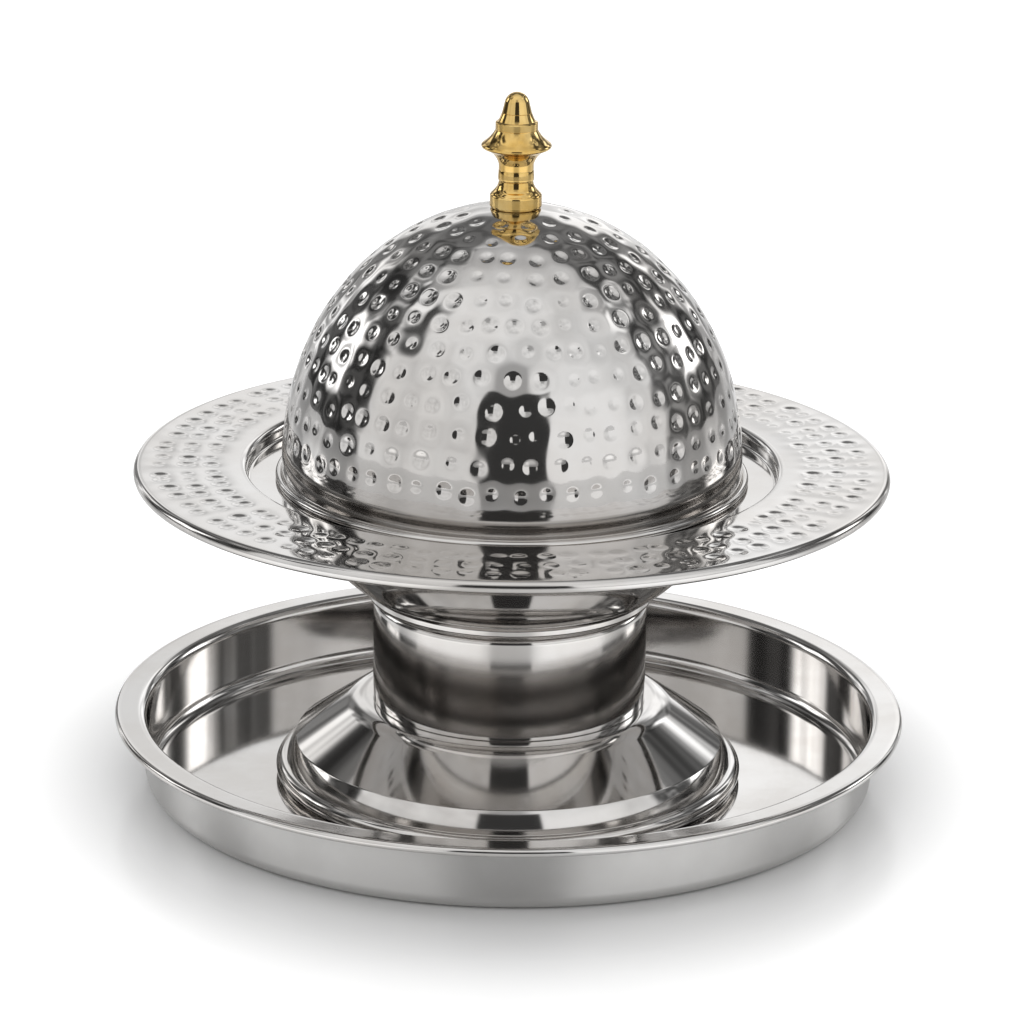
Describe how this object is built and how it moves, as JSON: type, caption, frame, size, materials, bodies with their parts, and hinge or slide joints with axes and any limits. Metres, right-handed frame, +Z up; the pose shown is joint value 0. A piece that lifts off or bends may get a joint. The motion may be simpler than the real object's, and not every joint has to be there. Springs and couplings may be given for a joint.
{
  "type": "covered date bowl",
  "caption": "Round pedestal dish with a wide hammered rim and a hammered dome lid with a turned brass knob, standing in a shallow round tray.",
  "frame": {"origin": "on the common axis of tray, stand and lid, in the plane of the tray's underside", "axes": "+Z up along the common axis; X and Y lie in the table plane"},
  "size_m": [0.32, 0.32, 0.2847],
  "materials": {
    "satin_steel": "stainless sheet, satin outside the wall and polished inside",
    "polished_steel": "mirror polished stainless sheet",
    "hammered_steel": "polished stainless sheet with round hammer dents",
    "brass": "turned and polished, golden",
    "plated_steel": "zinc plated hardware"
  },
  "bodies": {
    "tray": {"tray": "satin_steel"},
    "stand": {"foot": "polished_steel", "column": "polished_steel", "dish": "hammered_steel", "dish_stud": "plated_steel", "foot_washer": "plated_steel", "foot_nut": "plated_steel"},
    "lid": {"lid_dome": "hammered_steel", "finial": "brass", "lid_washer": "plated_steel", "finial_screw": "plated_steel"}
  },
  "joints": [
    {"name": "stand_lift", "type": "slide", "parent": "tray", "child": "stand", "axis": [0, 0, 1], "range_m": [0, 0.12]},
    {"name": "lid_lift", "type": "slide", "parent": "stand", "child": "lid", "axis": [0, 0, 1], "range_m": [0, 0.22]}
  ]
}
